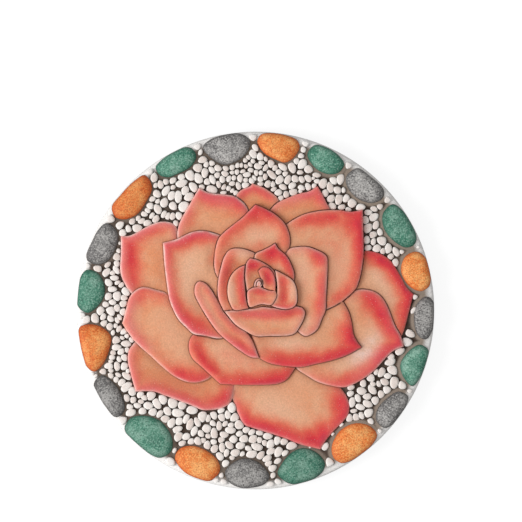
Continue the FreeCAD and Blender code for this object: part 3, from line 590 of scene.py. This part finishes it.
class Petal:
    """Outline, height and paint of one petal."""

    def __init__(self, layer, lip, root, warm, pink, pale, edges, hidden, strokes):
        self.strokes = strokes
        self.height = BED_HEIGHT + GUARD_LIFT + layer * LAYER_LIFT
        self.least = BED_HEIGHT + LEAST_PETAL + LEAST_SHARE * layer * LAYER_LIFT
        self.lip = np.array(lip, float)
        slope = self.lip - np.array(root, float)
        self.slope = slope / np.linalg.norm(slope) * PETAL_TILT
        self.warm, self.pink, self.pale = warm, pink, pale
        runs = [through([(x, y, tenths / 10) for x, y, tenths in edge], OUTLINE_STEP) for edge in edges]
        self.free = np.vstack(runs)
        loop = self.free[:, :2]
        end, start = edges[-1][-1][:2], edges[0][0][:2]
        if end != start:
            loop = np.vstack([loop, straight([end, *hidden, start], OUTLINE_STEP)])
        twice_area = np.cross(loop, np.roll(loop, -1, axis=0)).sum()
        self.loop = loop if twice_area > 0 else loop[::-1]
        span = math.sqrt(abs(twice_area) / 2)
        self.blush_reach = min(BLUSH_REACH, BLUSH_SHARE * span)
        self.lip_reach = min(LIP_REACH, LIP_SHARE * span)

    def top(self, points, edge_distance, free_distance):
        """Height of the petal's face: a sloping plane, dished inside its rolled lip."""
        plane = self.height + (points - self.lip) @ self.slope
        face = plane - CUP_DEPTH * (1 - np.exp(-(free_distance / CUP_REACH) ** 2))
        face = (face + self.least + np.hypot(face - self.least, PETAL_BLEND)) / 2
        near = np.clip(1 - edge_distance / self.lip_reach, 0, 1)
        return face - LIP_FALL * self.lip_reach * (1 - np.sqrt(1 - near ** 2))

    def face_points(self, above):
        """Points inside the outline: rows along the lip, rows along the petals above, and an even grid
        where the petal shows."""
        normals = outward(self.loop)
        groups = []
        for inset in LIP_INSETS:
            row = self.loop - normals * inset
            groups.append(row[distance(row, self.loop) > inset * ROW_KEPT])
        clear = LIP_INSETS[-1] + LIP_CLEARANCE
        for petal in above:
            for offset in CREASE_OFFSETS:
                row = petal.loop + outward(petal.loop) * offset
                row = row[distance(row, petal.loop) > offset * ROW_KEPT]
                row = row[is_inside(row, self.loop)]
                groups.append(row[distance(row, self.loop) > clear])
        grid = staggered(self.loop.min(axis=0), self.loop.max(axis=0), GRID_STEP)
        grid = grid[is_inside(grid, self.loop)]
        grid = grid[distance(grid, self.loop) > clear]
        for petal in above:
            covered = is_inside(grid, petal.loop)
            near_row = distance(grid, petal.loop) < CREASE_OFFSETS[-1] + CREASE_CLEARANCE
            grid = grid[~covered & ~near_row]
        points = np.vstack([*groups, grid])
        points = points[is_inside(points, self.loop)]
        for petal in above:
            points = points[~is_inside(points, petal.loop)]
        return points

    def blush(self, points):
        """How red the paint is: strongest at the reddest lip, fading inwards."""
        found = np.zeros(len(points))
        for x, y, red in self.free:
            away = np.hypot(points[:, 0] - x, points[:, 1] - y)
            found = np.maximum(found, red * np.exp(-(away / self.blush_reach) ** 2))
        return found

    def build(self, build, above):
        inner = self.face_points(above)
        flat, faces, border = triangles(np.vstack([self.loop, inner]), len(self.loop))
        edge_distance = distance(flat, self.loop)
        edge_distance[border] = 0
        free_distance = distance(flat, self.free[:, :2])
        over = np.full(len(flat), FAR)
        for petal in above:
            over = np.minimum(over, distance(flat, petal.free[:, :2]))
        paint = {
            "light": np.zeros(len(flat)),
            "blush": self.blush(flat),
            # Pale line along the free lips: painted highlight, partly pale paint.
            "pale": self.pale * np.exp(-(free_distance / PALE_REACH) ** 2),
            # Painted shade beside the petals above: a dark line and a brown wash.
            "crease": np.exp(-(over / CREASE_REACH) ** 2),
            "wash": np.exp(-over / WASH_REACH),
            "warm": np.full(len(flat), self.warm),
            "pink": self.pink * np.exp(-(free_distance / PINK_REACH) ** 2),
        }
        for name, reach, strength, points in self.strokes:
            line = np.vstack([straight(points, STROKE_STEP), points[-1]])
            paint[name] = np.maximum(paint[name], strength * stroke(flat, line, reach))
        face = np.column_stack([flat, self.top(flat, edge_distance, free_distance)])
        foot = face[border].copy()
        foot[:, 2] = BED_HEIGHT - SUNK
        count = len(border)
        wall = [(border[i], len(flat) + i, len(flat) + j, border[j]) for i, j in neighbours(count)]
        base = tuple(len(flat) + i for i in reversed(range(count)))
        # The foot of the wall takes the full dark line and brown wash: painted shade.
        shaded_foot = {"crease": 1.0, "wash": 1.0}
        paint = {name: np.concatenate([value, np.full(count, shaded_foot.get(name, 0.0))])
                 for name, value in paint.items()}
        build.add(np.vstack([face, foot]), [*faces, *wall, base], **paint)


def dome(build, outline, rise, section, **values):
    """A rounded stone over an outline drawn anticlockwise: rings drawn in towards the middle, from a foot
    sunk in the bed to a crown."""
    centre = outline.mean(axis=0)
    count = len(outline)
    rings = [np.column_stack([outline, np.full(count, BED_HEIGHT - SUNK)])]
    crown = [np.zeros(count)]
    for share, height in section:
        ring = centre + (outline - centre) * share
        rings.append(np.column_stack([ring, np.full(count, BED_HEIGHT + rise * height)]))
        crown.append(np.full(count, height))
    rings.append(np.array([[*centre, BED_HEIGHT + rise]]))
    crown.append(np.ones(1))
    faces = []
    for ring in range(len(section)):
        faces.extend(band(ring * count, (ring + 1) * count, count))
    last = len(section) * count
    faces.extend((last + i, last + j, last + count) for i, j in neighbours(count))
    faces.append(tuple(reversed(range(count))))
    build.add(np.vstack(rings), faces, crown=np.concatenate(crown), **values)


def dome_section(shares, squareness):
    """Rings of a dome: share of the outline and share of the rise."""
    return [(share, (1 - share ** squareness) ** 0.5) for share in shares]


STONE_SECTION = dome_section((1, 0.985, 0.95, 0.9, 0.83, 0.74, 0.63, 0.5, 0.36, 0.2), 3.0)
PEBBLE_SECTION = dome_section((1, 0.985, 0.95, 0.89, 0.78, 0.5), 8.0)


def stone_outline(points):
    """Smooth outline of a border stone, drawn anticlockwise and kept inside the rim."""
    outline = through(points[::-1], STONE_STEP, closed=True)
    reach = np.linalg.norm(outline, axis=1)
    return outline * np.minimum(1, (DISC_RADIUS - STONE_RIM_GAP) / reach)[:, None]


def rounded(reach, angles, area):
    """Smooth outline of one area from how far a cell reaches in each direction, drawn in by the pebbles'
    gap."""
    waves = np.fft.rfft(reach)
    order = np.arange(len(waves))
    waves *= np.select([order == 1, order == 4, order > 4], [0, CORNER_SHARE, 0], 1)
    while True:
        derivatives = [waves * (1j * order) ** power for power in range(3)]
        reach, slope, bend = (np.fft.irfft(wave, len(angles)) for wave in derivatives)
        size = math.sqrt(area / (math.pi * (reach * (reach + bend)).mean()))
        if (size * (reach + bend)).min() > PEBBLE_GAP + PEBBLE_TIP_RADIUS:
            break
        waves[2:] *= DAMPING
    cos, sin = np.cos(angles), np.sin(angles)
    out = size * reach - PEBBLE_GAP
    across = size * slope
    return np.column_stack([out * cos - across * sin, out * sin + across * cos])


def pebble_outlines(petals, stones):
    """Outlines of the small pebbles that fill the bed: uneven cells that crowd the free ground, rounded."""
    chance = np.random.default_rng(PACKING_SEED)
    axis = np.arange(-DISC_RADIUS, DISC_RADIUS, PACKING_STEP)
    ground = np.array(np.meshgrid(axis, axis)).reshape(2, -1).T
    ground = ground[np.linalg.norm(ground, axis=1) < DISC_RADIUS - PEBBLE_RIM_GAP]
    for petal in petals:
        ground = ground[~is_inside(ground, petal.loop)]
    for loop in stones:
        gap = PEBBLE_STONE_GAP + BARE_MORTAR * max(0, loop[:, 0].mean() / DISC_RADIUS)
        ground = ground[~is_inside(ground, loop + outward(loop) * gap)]
    seeds = ground[chance.choice(len(ground), PEBBLE_COUNT, replace=False)]
    size = chance.uniform(*PEBBLE_SIZES, PEBBLE_COUNT)
    stretch = chance.uniform(*PEBBLE_STRETCHES, PEBBLE_COUNT) ** 0.5
    turn = chance.uniform(0, math.pi, PEBBLE_COUNT)
    cos, sin = np.cos(turn), np.sin(turn)
    for _ in range(PACKING_ROUNDS):
        dx = ground[:, :1] - seeds[:, 0]
        dy = ground[:, 1:] - seeds[:, 1]
        away = ((dx * cos + dy * sin) / stretch) ** 2 + ((dy * cos - dx * sin) * stretch) ** 2
        owner = np.argmin(away / size ** 2, axis=1)
        for i in range(PEBBLE_COUNT):
            cell = ground[owner == i]
            if len(cell):
                seeds[i] = cell.mean(axis=0)
    outlines = []
    angles = np.linspace(0, 2 * math.pi, PEBBLE_POINTS, endpoint=False)
    for i in range(PEBBLE_COUNT):
        cell = ground[owner == i]
        area = len(cell) * PACKING_STEP ** 2
        if area < LEAST_PEBBLE_AREA:
            continue
        offset = cell - cell.mean(axis=0)
        reach = np.array([(offset @ (math.cos(a), math.sin(a))).max() for a in angles])
        outline = rounded(reach, angles, area)
        places = set(map(tuple, np.rint(cell / PACKING_STEP).astype(int)))
        for _ in range(SHRINK_ROUNDS):
            found = np.rint((cell.mean(axis=0) + outline) / PACKING_STEP).astype(int)
            if np.mean([tuple(place) in places for place in found]) > SHARE_INSIDE:
                break
            outline *= SHRINK
        outlines.append(cell.mean(axis=0) + outline)
    return outlines


def colour(red, green, blue):
    """A paint colour as seen on a screen, as linear light."""
    parts = (value / 255 for value in (red, green, blue))
    return (*(part / 12.92 if part <= 0.04045 else ((part + 0.055) / 1.055) ** 2.4 for part in parts), 1)


def put(tree, node, values):
    """Sets the inputs of a node, or links sockets to them."""
    for place, value in values.items():
        if isinstance(value, bpy.types.NodeSocket):
            tree.links.new(value, node.inputs[place])
        else:
            node.inputs[place].default_value = value


def add_node(tree, kind, values, **settings):
    """A new node with its settings and inputs."""
    node = tree.nodes.new("ShaderNode" + kind)
    for name, value in settings.items():
        setattr(node, name, value)
    put(tree, node, values)
    return node


class Material:
    """A node material built from short calls that each return a socket."""

    def __init__(self, name):
        self.material = bpy.data.materials.new(name)
        self.material.use_nodes = True
        self.tree = self.material.node_tree
        self.shader = self.tree.nodes["Principled BSDF"]
        self.coordinates = self.node("TexCoord", {}).outputs["Object"]

    def node(self, kind, values, **settings):
        return add_node(self.tree, kind, values, **settings)

    def attribute(self, name):
        return self.node("Attribute", {}, attribute_name=name).outputs["Fac"]

    def noise(self, size_mm, detail=3, roughness=0.55):
        values = {"Vector": self.coordinates, "Scale": 1 / (size_mm * MM), "Detail": detail,
                  "Roughness": roughness}
        return self.node("TexNoise", values).outputs["Fac"]

    def radius(self):
        """Distance from the middle of the slab, in metres."""
        flat = self.node("VectorMath", {0: self.coordinates, 1: (1, 1, 0)}, operation="MULTIPLY")
        length = self.node("VectorMath", {0: flat.outputs["Vector"]}, operation="LENGTH")
        return length.outputs["Value"]

    def place(self, axis):
        """Place along one axis of the slab, in metres."""
        return self.node("SeparateXYZ", {"Vector": self.coordinates}).outputs[axis]

    def math(self, operation, a, b):
        return self.node("Math", {0: a, 1: b}, operation=operation).outputs["Value"]

    def ramp(self, value, low, high, start=0.0, end=1.0):
        values = {"Value": value, "From Min": low, "From Max": high, "To Min": start, "To Max": end}
        return self.node("MapRange", values, interpolation_type="SMOOTHSTEP").outputs["Result"]

    def mix(self, share, a, b, blend="MIX"):
        values = {"Factor": share, 6: a, 7: b}
        return self.node("Mix", values, data_type="RGBA", blend_type=blend).outputs[2]

    def over(self, paint, coat, value, low, high, share=1.0):
        """A paint with a coat over it: none where a value is low, up to a share of it where it is high."""
        return self.mix(self.ramp(value, low, high, 0.0, share), paint, coat)

    def shade(self, paint, share, dark, light):
        """Lightens and darkens a paint by a value from 0 to 1."""
        tint = self.mix(share, (dark, dark, dark, 1), (light, light, light, 1))
        return self.mix(1.0, paint, tint, "MULTIPLY")

    def finish(self, paint, rough, bump, bump_mm, specular=0.3):
        values = {"Strength": 1.0, "Distance": bump_mm * MM, "Height": bump}
        normal = self.node("Bump", values).outputs["Normal"]
        put(self.tree, self.shader, {"Base Color": paint, "Roughness": rough, "Normal": normal,
                                     "Specular IOR Level": specular})
        return self.material


PEACH = colour(228, 166, 128)
ORANGE = colour(226, 146, 102)
CORAL = colour(226, 114, 86)
RED = colour(214, 48, 56)
CRIMSON = colour(192, 30, 58)
PINK = colour(228, 122, 126)
PALE = colour(244, 216, 206)
LIGHT = colour(236, 194, 164)
# Brown of the wash of painted shade beside overlapping petals.
WASH_SHADE_BROWN = colour(140, 84, 58)
DARK = colour(58, 44, 36)
# Painted shade in the creases: its brown, and where it fades to the lit west and south, in metres.
CREASE_SHADE_BROWN = colour(66, 33, 20)
WEST_SHADE_FADE = (-0.075, -0.03)
SOUTH_SHADE_FADE = (-0.06, 0.0)


def rose_material():
    """Airbrushed paint: peach and orange petals, red and pink near the lips, pale paint and painted
    highlight on the lips, and painted shade in the creases: a brown wash and a dark line.
    """
    m = Material("rose_paint")
    cloud = m.noise(9, detail=4)
    drift = m.noise(22, detail=2)
    grain = m.noise(1.1, detail=4, roughness=0.7)
    paint = m.mix(m.math("ADD", m.attribute("warm"), m.ramp(cloud, 0.4, 0.7, -0.2, 0.3)), PEACH, ORANGE)
    paint = m.mix(m.math("MULTIPLY", m.attribute("light"), m.ramp(cloud, 0.3, 0.7, 0.6, 1.0)), paint, LIGHT)
    blush = m.math("ADD", m.attribute("blush"), m.ramp(cloud, 0.3, 0.7, -0.06, 0.06))
    blush = m.math("MULTIPLY", blush, m.ramp(drift, 0.3, 0.65, 0.8, 1.1))
    paint = m.over(paint, CORAL, blush, 0.02, 0.65)
    paint = m.over(paint, RED, blush, 0.35, 1.05)
    paint = m.over(paint, CRIMSON, blush, 0.9, 1.3)
    paint = m.mix(m.math("MULTIPLY", m.attribute("pink"), 0.75), paint, PINK)
    # Brown wash beside overlapping petals and at their feet: painted shade.
    paint = m.mix(m.math("MULTIPLY", m.attribute("wash"), 0.52), paint, WASH_SHADE_BROWN)
    # Pale line along the free lips, in worn patches: painted highlight, partly pale paint.
    worn_highlight = m.ramp(cloud, 0.3, 0.65, 0.3, 0.95)
    paint = m.mix(m.math("MULTIPLY", m.attribute("pale"), worn_highlight), paint, PALE)
    # Dark line beside each overlapping petal: painted shade, fading out towards the lit west and south.
    line = m.math("MULTIPLY", m.ramp(m.attribute("crease"), 0.25, 0.7), m.ramp(cloud, 0.3, 0.6, 0.6, 1.0))
    line = m.math("MULTIPLY", line, m.ramp(m.place("X"), *WEST_SHADE_FADE, 0.5, 1.0))
    line = m.math("MULTIPLY", line, m.ramp(m.place("Y"), *SOUTH_SHADE_FADE, 0.4, 1.0))
    paint = m.mix(line, paint, CREASE_SHADE_BROWN)
    speck = m.noise(0.8, detail=1, roughness=0.5)
    paint = m.over(paint, PALE, speck, 0.68, 0.78, 0.4)
    paint = m.shade(paint, m.ramp(grain, 0.25, 0.75), 0.86, 1.12)
    return m.finish(paint, m.ramp(grain, 0.3, 0.7, 0.5, 0.75), grain, 0.25)


# Paints of the border stones: middle, dark and light colour, how strong the speckles are, and the tint that
# a darker stone takes.
STONE_PAINTS = {
    "grey": (colour(142, 139, 137), colour(78, 76, 76), colour(206, 203, 199), 0.95, (0.5, 0.5, 0.5, 1)),
    "orange": (colour(230, 134, 64), colour(188, 82, 32), colour(242, 190, 122), 0.65,
               (0.72, 0.4, 0.25, 1)),
    "teal": (colour(76, 140, 116), colour(34, 88, 72), colour(154, 192, 174), 0.8, (0.5, 0.5, 0.5, 1)),
}
LIGHT_STONE_TINT = (1.2, 1.2, 1.2, 1)


def stone_material(name):
    """Sponged paint: a middle colour with pale and dark speckles, a little painted highlight on the crown
    and painted shade darkening the feet.
    """
    base, dark, light, speckled, tint = STONE_PAINTS[name]
    m = Material(f"{name}_stone_paint")
    cloud = m.noise(10, detail=3)
    speckle = m.noise(1.1, detail=3, roughness=0.7)
    fine = m.noise(0.8, detail=2, roughness=0.6)
    paint = m.over(base, light, cloud, 0.42, 0.68, 0.7)
    paint = m.over(paint, dark, cloud, 0.5, 0.3, 0.4)
    paint = m.over(paint, light, speckle, 0.52, 0.62, speckled)
    paint = m.over(paint, dark, speckle, 0.48, 0.38, speckled)
    crown = m.attribute("crown")
    # A painted highlight on the crown, painted shade down to the foot and a dark line of it at the bed.
    paint = m.over(paint, light, crown, 0.9, 1.0, 0.12)
    paint = m.over(paint, dark, crown, 0.88, 0.25, 0.75)
    paint = m.over(paint, DARK, crown, 0.35, 0.05, 0.9)
    paint = m.shade(paint, m.ramp(fine, 0.3, 0.7), 0.76, 1.2)
    tone = m.ramp(m.attribute("tone"), 0.6, 1.2)
    paint = m.mix(1.0, paint, m.mix(tone, tint, LIGHT_STONE_TINT), "MULTIPLY")
    return m.finish(paint, m.ramp(speckle, 0.3, 0.7, 0.5, 0.75), speckle, 0.3)


PEBBLE_CREAM = colour(242, 234, 228)
PEBBLE_WARM = colour(222, 204, 194)
PEBBLE_EDGE_HIGHLIGHT = colour(252, 249, 245)
BED_BROWN = colour(60, 45, 35)
TAUPE = colour(146, 131, 118)
RIM_WHITE = colour(246, 243, 240)
RIM_BLEND = (0.117, 0.1255)
RIM_EDGE = (0.12, 0.1245)
SIDE_BLEND = (0.007, 0.0115)
BARE_BLEND = (0.0, 0.07)


def pebble_material():
    """Cream paint with a painted highlight round the edge of each top, darkening down the sides as painted
    shade, through taupe to the brown of the bed in the gaps.
    """
    m = Material("white_pebble_paint")
    cloud = m.noise(5, detail=3)
    grain = m.noise(0.9, detail=3, roughness=0.65)
    paint = m.mix(m.math("ADD", m.attribute("tone"), m.ramp(cloud, 0.35, 0.65, -0.2, 0.2)),
                  PEBBLE_CREAM, PEBBLE_WARM)
    crown = m.math("ADD", m.attribute("crown"), m.ramp(grain, 0.3, 0.7, -0.08, 0.08))
    # A painted highlight round the edge of each top, then painted shade darkening down the sides.
    paint = m.over(paint, PEBBLE_EDGE_HIGHLIGHT, crown, 0.97, 0.75, 0.8)
    paint = m.over(paint, TAUPE, crown, 0.62, 0.3, 0.7)
    paint = m.over(paint, BED_BROWN, crown, 0.4, 0.15, 0.95)
    paint = m.mix(m.ramp(m.radius(), *RIM_BLEND, 0.0, 0.7), paint, RIM_WHITE)
    paint = m.shade(paint, m.ramp(grain, 0.3, 0.7), 0.93, 1.06)
    return m.finish(paint, m.ramp(grain, 0.3, 0.7, 0.55, 0.8), grain, 0.15)


BACK_GREY = colour(78, 76, 77)
SIDE_GREY = colour(120, 115, 110)
COATING = colour(54, 53, 54)
DULL_ZINC = colour(188, 187, 184)
BRIGHT_ZINC = colour(222, 221, 218)
COATED_HEIGHT = (0.0012, 0.0016)


def slab_material():
    """Bare dark grey back and side, brown bed on the face, off-white along the rim."""
    m = Material("slab_cast")
    cloud = m.noise(14, detail=4)
    grain = m.noise(0.9, detail=4, roughness=0.7)
    pits = m.noise(2.6, detail=2)
    bed = m.over(BED_BROWN, TAUPE, cloud, 0.4, 0.8, 0.5)
    bare = m.ramp(m.place("X"), *BARE_BLEND, 0.25, 1.0)
    bed = m.mix(m.math("MULTIPLY", m.ramp(m.attribute("collar"), 0.15, 0.7), bare), bed, TAUPE)
    face = m.mix(m.ramp(m.radius(), *RIM_EDGE), bed, RIM_WHITE)
    back = m.over(BACK_GREY, SIDE_GREY, cloud, 0.35, 0.7, 0.25)
    back = m.over(back, DARK, pits, 0.62, 0.72, 0.3)
    paint = m.mix(m.ramp(m.place("Z"), *SIDE_BLEND), back, face)
    paint = m.shade(paint, m.ramp(grain, 0.3, 0.7), 0.85, 1.12)
    return m.finish(paint, m.ramp(grain, 0.3, 0.7, 0.65, 0.9), grain, 0.25)


def hanger_material():
    """Zinc-plated pressed steel, dulled inside; its face is coated as dark as the back."""
    m = Material("hanger_zinc")
    cloud = m.noise(3, detail=3)
    grain = m.noise(0.35, detail=2)
    paint = m.over(DULL_ZINC, BRIGHT_ZINC, cloud, 0.35, 0.7)
    inside = m.ramp(m.place("Z"), *COATED_HEIGHT)
    paint = m.mix(inside, COATING, paint)
    paint = m.shade(paint, m.ramp(grain, 0.3, 0.7), 0.92, 1.06)
    put(m.tree, m.shader, {"Metallic": m.math("MULTIPLY", inside, 0.35)})
    return m.finish(paint, m.ramp(cloud, 0.3, 0.7, 0.32, 0.5), grain, 0.02, specular=0.5)


def bed_face(rim, stones):
    """The bed inside the rim, raised in a soft collar round each border stone."""
    grid = staggered((-DISC_RADIUS, -DISC_RADIUS), (DISC_RADIUS, DISC_RADIUS), BED_STEP)
    grid = grid[np.linalg.norm(grid, axis=1) < DISC_RADIUS - FACE_ROUNDING - RIM_CLEARANCE]
    flat, faces, border = triangles(np.vstack([rim, grid]), len(rim))
    outlines = np.vstack(stones)
    collar = np.exp(-(distance(flat, outlines) / COLLAR_REACH) ** 2)
    for loop in stones:
        collar[is_inside(flat, loop)] = 1
    rise = COLLAR_RISE * collar
    rise[border] = 0
    return np.column_stack([flat, BED_HEIGHT + rise]), faces, border, collar


def build_slab(stones):
    """The cast disc: a round slab with rounded edges, and a pocket in its back for the hanger."""
    count = DISC_POINTS
    quarter = np.linspace(0, math.pi / 2, ROUNDING_POINTS)
    profile = [(DISC_RADIUS - BACK_ROUNDING * (1 - math.sin(a)), BACK_ROUNDING * (1 - math.cos(a)))
               for a in quarter]
    profile += [(DISC_RADIUS - FACE_ROUNDING * (1 - math.cos(a)),
                 BED_HEIGHT - FACE_ROUNDING * (1 - math.sin(a))) for a in quarter]
    rings = [np.column_stack([r * circle(count), np.full(count, z)]) for r, z in profile]
    faces = []
    for ring in range(len(profile) - 1):
        faces.extend(band(ring * count, (ring + 1) * count, count))
    bed, bed_faces, border, collar = bed_face(rings.pop()[:, :2], stones)
    top = (len(profile) - 1) * count
    place = {found: top + i for i, found in enumerate(border)}
    inner = [i for i in range(len(bed)) if i not in place]
    place.update({found: top + count + i for i, found in enumerate(inner)})
    faces.extend(tuple(place[i] for i in face) for face in bed_faces)
    points = np.vstack([*rings, bed[border], bed[inner]])
    collar = np.concatenate([np.zeros(top), collar[border], collar[inner]])

    middle = np.array([hanger_low.x + hanger_high.x, hanger_low.y + hanger_high.y]) / 2 / MM
    pocket_radius = (hanger_high.x - hanger_low.x) / 2 / MM + HANGER_CLEARANCE
    pocket_top = hanger_high.z / MM + HANGER_CLEARANCE
    mouth = middle + pocket_radius * circle(POCKET_POINTS)
    edges = neighbours(count) + [(count + i, count + j) for i, j in neighbours(POCKET_POINTS)]
    flat = [Vector(p) for p in np.vstack([rings[0][:, :2], mouth])]
    _, _, under, sources, _, _ = delaunay_2d_cdt(flat, edges, [], 1, BACK_WELD)
    start = len(points)
    names = [found[0] if found[0] < count else start + found[0] - count for found in sources]
    for face_points in under:
        if any(sources[i][0] < count for i in face_points):
            faces.append(tuple(names[i] for i in reversed(face_points)))
    roof_start = start + POCKET_POINTS
    roof = np.column_stack([mouth, np.full(POCKET_POINTS, pocket_top)])
    points = np.vstack([points, np.column_stack([mouth, np.zeros(POCKET_POINTS)]), roof])
    faces.extend(band(roof_start, start, POCKET_POINTS))
    faces.append(tuple(roof_start + i for i in reversed(range(POCKET_POINTS))))
    collar = np.concatenate([collar, np.zeros(2 * POCKET_POINTS)])
    build = Build()
    build.add(points, faces, collar=collar)
    build.piece("cast_slab", slab_material(), sharp_angle=SLAB_SHARP_ANGLE)


def build_rose():
    petals = [Petal(*row) for row in PETALS.values()]
    build = Build()
    for i, petal in enumerate(petals):
        petal.build(build, petals[i + 1:])
    build.piece("rose", rose_material())
    return petals


def build_stones():
    outlines = []
    builds = {name: Build() for name in STONE_PAINTS}
    for name, tone, points in STONES:
        outline = stone_outline(points)
        dome(builds[name], outline, STONE_RISE, STONE_SECTION, tone=tone)
        outlines.append(outline)
    for name, build in builds.items():
        build.piece(f"{name}_border_stones", stone_material(name))
    return outlines


def build_pebbles(petals, stones):
    chance = np.random.default_rng(RISE_SEED)
    build = Build()
    for outline in pebble_outlines(petals, stones):
        rise = PEBBLE_RISE * chance.uniform(*PEBBLE_RISES)
        dome(build, outline, rise, PEBBLE_SECTION, tone=chance.uniform(*PEBBLE_TONES))
    build.piece("white_pebbles", pebble_material())


# The photograph's frame, in pixels: its side, the disc's middle and the disc's radius.
PHOTO_SIDE_PX = 522
DISC_MIDDLE_PX = (255.5, 310.5)
DISC_RADIUS_PX = 179
CAMERA_HEIGHT = 2.4
SENSOR_MM = 36.0


def make_camera():
    """Looks straight down, with the disc low in the frame as in the photograph."""
    data = bpy.data.cameras.new("camera")
    frame_width = PHOTO_SIDE_PX * DISC_RADIUS / DISC_RADIUS_PX * MM
    data.sensor_width = SENSOR_MM
    data.lens = SENSOR_MM * (CAMERA_HEIGHT - BED_HEIGHT * MM) / frame_width
    data.shift_x = (PHOTO_SIDE_PX / 2 - DISC_MIDDLE_PX[0]) / PHOTO_SIDE_PX
    data.shift_y = (DISC_MIDDLE_PX[1] - PHOTO_SIDE_PX / 2) / PHOTO_SIDE_PX
    camera = bpy.data.objects.new("camera", data)
    camera.location = (0, 0, CAMERA_HEIGHT)
    bpy.context.collection.objects.link(camera)
    bpy.context.scene.camera = camera


def seen_directly(tree):
    """1 where the camera, a reflection or a clear surface looks straight at a surface."""
    path = add_node(tree, "LightPath", {})
    total = path.outputs["Is Camera Ray"]
    for name in ("Is Glossy Ray", "Is Transmission Ray"):
        node = add_node(tree, "Math", {0: total, 1: path.outputs[name]}, operation="MAXIMUM")
        total = node.outputs["Value"]
    return total


WHITE = (1, 1, 1, 1)
WORLD_LIGHT = 0.5
KEY_WATTS = 24
KEY_PLACE = (-1.35, -0.25, 1.05)
KEY_SIZE = 0.9
FLOOR_GLOW = 0.86
FLOOR_GAP = 0.1
FLOOR_SIDE = 3.0
FLOOR_GREY = (0.2, 0.2, 0.2, 1)
FLOOR_ROUGHNESS = 0.9


def make_light():
    """One soft lamp from the left over an even pale sky."""
    world = bpy.data.worlds.new("sky")
    bpy.context.scene.world = world
    world.use_nodes = True
    tree = world.node_tree
    values = {"Value": seen_directly(tree), "To Min": WORLD_LIGHT, "To Max": 1.0}
    strength = add_node(tree, "MapRange", values).outputs["Result"]
    put(tree, tree.nodes["Background"], {"Color": WHITE, "Strength": strength})

    lamp = bpy.data.lights.new("key", "AREA")
    lamp.energy = KEY_WATTS
    lamp.size = KEY_SIZE
    key = bpy.data.objects.new("key", lamp)
    key.location = KEY_PLACE
    key.rotation_euler = (-Vector(KEY_PLACE)).to_track_quat("-Z", "Y").to_euler()
    bpy.context.collection.objects.link(key)


def make_floor():
    """White floor that glows a little where it is seen, and still takes the stone's shadow."""
    side = FLOOR_SIDE
    low = -FLOOR_GAP * MM
    mesh = bpy.data.meshes.new("floor")
    corners = [(-side, -side, low), (side, -side, low), (side, side, low), (-side, side, low)]
    mesh.from_pydata(corners, [], [(0, 1, 2, 3)])
    material = bpy.data.materials.new("floor_white")
    material.use_nodes = True
    tree = material.node_tree
    glow = add_node(tree, "Math", {0: seen_directly(tree), 1: FLOOR_GLOW}, operation="MULTIPLY")
    put(tree, tree.nodes["Principled BSDF"], {
        "Base Color": FLOOR_GREY, "Roughness": FLOOR_ROUGHNESS, "Emission Color": WHITE,
        "Emission Strength": glow.outputs["Value"]})
    mesh.materials.append(material)
    floor = bpy.data.objects.new("floor", mesh)
    bpy.context.collection.objects.link(floor)


def dress_hanger():
    node = bpy.data.objects["keyhole_hanger"]
    node.data.materials.clear()
    node.data.materials.append(hanger_material())


bpy.context.scene.view_settings.view_transform = "Standard"
make_camera()
make_light()
make_floor()
dress_hanger()
rose_petals = build_rose()
border_outlines = build_stones()
build_slab(border_outlines)
build_pebbles(rose_petals, border_outlines)
